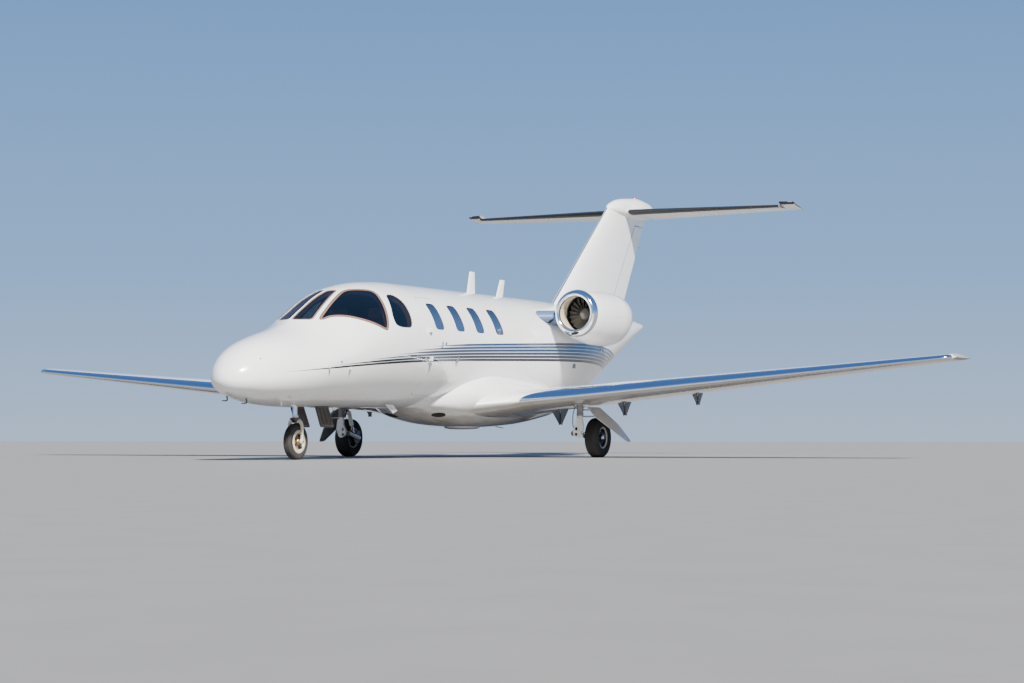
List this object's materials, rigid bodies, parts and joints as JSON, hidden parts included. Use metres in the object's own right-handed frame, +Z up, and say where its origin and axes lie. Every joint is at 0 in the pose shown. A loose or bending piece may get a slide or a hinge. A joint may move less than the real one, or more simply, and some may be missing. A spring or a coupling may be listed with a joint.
{
  "type": "business jet",
  "caption": "Light twin-engine business jet on its landing gear, with rear-mounted engines, a high tailplane, an opening cabin door and moving control surfaces.",
  "frame": {"origin": "on the ground, under the middle of the length and of the span", "axes": "+X to the nose, +Y to the left wing tip, +Z up"},
  "size_m": [12.98, 14.26, 4.232],
  "materials": {
    "white_skin": "gloss white paint",
    "glazing": "clear, tinted",
    "engine_metal": "dark metal",
    "bare_steel": "bare metal",
    "tire_rubber": "matt",
    "cream_paint": "satin",
    "seat_leather": "satin",
    "panel_black": "matt",
    "carpet": "matt"
  },
  "bodies": {
    "airframe": {"nose_cone": "white_skin", "cockpit_shell": "white_skin", "cabin_shell": "white_skin", "tail_fuselage": "white_skin", "belly_fairing": "white_skin", "fin": "white_skin", "stabilizer": "white_skin", "left_nacelle": "white_skin", "right_nacelle": "white_skin", "left_wing": "white_skin", "right_wing": "white_skin", "left_main_strut": "white_skin", "right_main_strut": "white_skin", "nose_gear_leg": "white_skin", "left_nose_gear_door": "white_skin", "right_nose_gear_door": "white_skin", "left_pylon": "white_skin", "right_pylon": "white_skin", "front_antenna": "white_skin", "rear_antenna": "white_skin", "left_windshield": "glazing", "left_pilot_window": "glazing", "left_cockpit_rear_window": "glazing", "left_cabin_window_2": "glazing", "left_cabin_window_3": "glazing", "left_cabin_window_4": "glazing", "right_windshield": "glazing", "right_pilot_window": "glazing", "right_cockpit_rear_window": "glazing", "right_cabin_window_1": "glazing", "right_cabin_window_2": "glazing", "right_cabin_window_3": "glazing", "right_cabin_window_4": "glazing", "left_engine": "engine_metal", "right_engine": "engine_metal", "left_main_link": "bare_steel", "right_main_link": "bare_steel", "crew_seats": "seat_leather", "cabin_seats": "seat_leather", "instrument_panel": "panel_black", "cabin_floor": "carpet"},
    "door": {"cabin_door": "white_skin", "left_cabin_window_1": "glazing"},
    "left_flap": {"left_flap": "white_skin"},
    "right_flap": {"right_flap": "white_skin"},
    "left_aileron": {"left_aileron": "white_skin"},
    "right_aileron": {"right_aileron": "white_skin"},
    "rudder": {"rudder": "white_skin"},
    "left_elevator": {"left_elevator": "white_skin"},
    "right_elevator": {"right_elevator": "white_skin"},
    "left_fan": {"left_fan": "bare_steel"},
    "right_fan": {"right_fan": "bare_steel"},
    "nose_fork": {"nose_gear_fork": "cream_paint"},
    "nose_wheel": {"nose_tire": "tire_rubber", "nose_rim": "cream_paint"},
    "left_wheel": {"left_main_tire": "tire_rubber", "left_main_rim": "cream_paint"},
    "right_wheel": {"right_main_tire": "tire_rubber", "right_main_rim": "cream_paint"}
  },
  "joints": [
    {"name": "door_hinge", "type": "hinge", "parent": "airframe", "child": "door", "pos_m": [2.924, 0.842, 1.475], "axis": [0, 0, -1], "range_deg": [0, 140]},
    {"name": "left_flap_pivot", "type": "hinge", "parent": "airframe", "child": "left_flap", "pos_m": [-0.64, 0.93, 0.462], "axis": [-0.1127, -0.9865, -0.1188], "range_deg": [0, 40]},
    {"name": "right_flap_pivot", "type": "hinge", "parent": "airframe", "child": "right_flap", "pos_m": [-0.64, -0.93, 0.462], "axis": [0.1127, -0.9865, 0.1188], "range_deg": [0, 40]},
    {"name": "left_aileron_hinge", "type": "hinge", "parent": "airframe", "child": "left_aileron", "pos_m": [-0.252, 3.925, 1], "axis": [0.1284, 0.9878, 0.0878], "range_deg": [-20, 20]},
    {"name": "right_aileron_hinge", "type": "hinge", "parent": "airframe", "child": "right_aileron", "pos_m": [-0.252, -3.925, 1], "axis": [0.1284, -0.9878, 0.0878], "range_deg": [-20, 20]},
    {"name": "rudder_hinge", "type": "hinge", "parent": "airframe", "child": "rudder", "pos_m": [-4.567, 0, 2.46], "axis": [-0.5992, 0, 0.8006], "range_deg": [-22, 22]},
    {"name": "left_elevator_hinge", "type": "hinge", "parent": "airframe", "child": "left_elevator", "pos_m": [-5.65, 0.2, 3.925], "axis": [0.0526, 0.9986, 0], "range_deg": [0, 30]},
    {"name": "right_elevator_hinge", "type": "hinge", "parent": "airframe", "child": "right_elevator", "pos_m": [-5.65, -0.2, 3.925], "axis": [-0.0526, 0.9986, 0], "range_deg": [0, 30]},
    {"name": "left_fan_spin", "type": "hinge", "parent": "airframe", "child": "left_fan", "pos_m": [-1.01, 1.2, 2.05], "axis": [1, 0, 0], "continuous": true},
    {"name": "right_fan_spin", "type": "hinge", "parent": "airframe", "child": "right_fan", "pos_m": [-1.01, -1.2, 2.05], "axis": [1, 0, 0], "continuous": true},
    {"name": "nose_steering", "type": "hinge", "parent": "airframe", "child": "nose_fork", "pos_m": [4.905, 0, 0.5], "axis": [0, 0, 1], "range_deg": [-50, 50]},
    {"name": "nose_wheel_spin", "type": "hinge", "parent": "nose_fork", "child": "nose_wheel", "pos_m": [4.89, 0, 0.2235], "axis": [0, 1, 0], "continuous": true},
    {"name": "left_wheel_spin", "type": "hinge", "parent": "airframe", "child": "left_wheel", "pos_m": [0.24, 1.978, 0.272], "axis": [0, 1, 0], "continuous": true},
    {"name": "right_wheel_spin", "type": "hinge", "parent": "airframe", "child": "right_wheel", "pos_m": [0.24, -1.978, 0.272], "axis": [0, 1, 0], "continuous": true}
  ],
  "couplings": [
    {"joint": "right_flap_pivot", "follows": "left_flap_pivot", "ratio": 1},
    {"joint": "right_aileron_hinge", "follows": "left_aileron_hinge", "ratio": 1},
    {"joint": "right_elevator_hinge", "follows": "left_elevator_hinge", "ratio": 1}
  ]
}
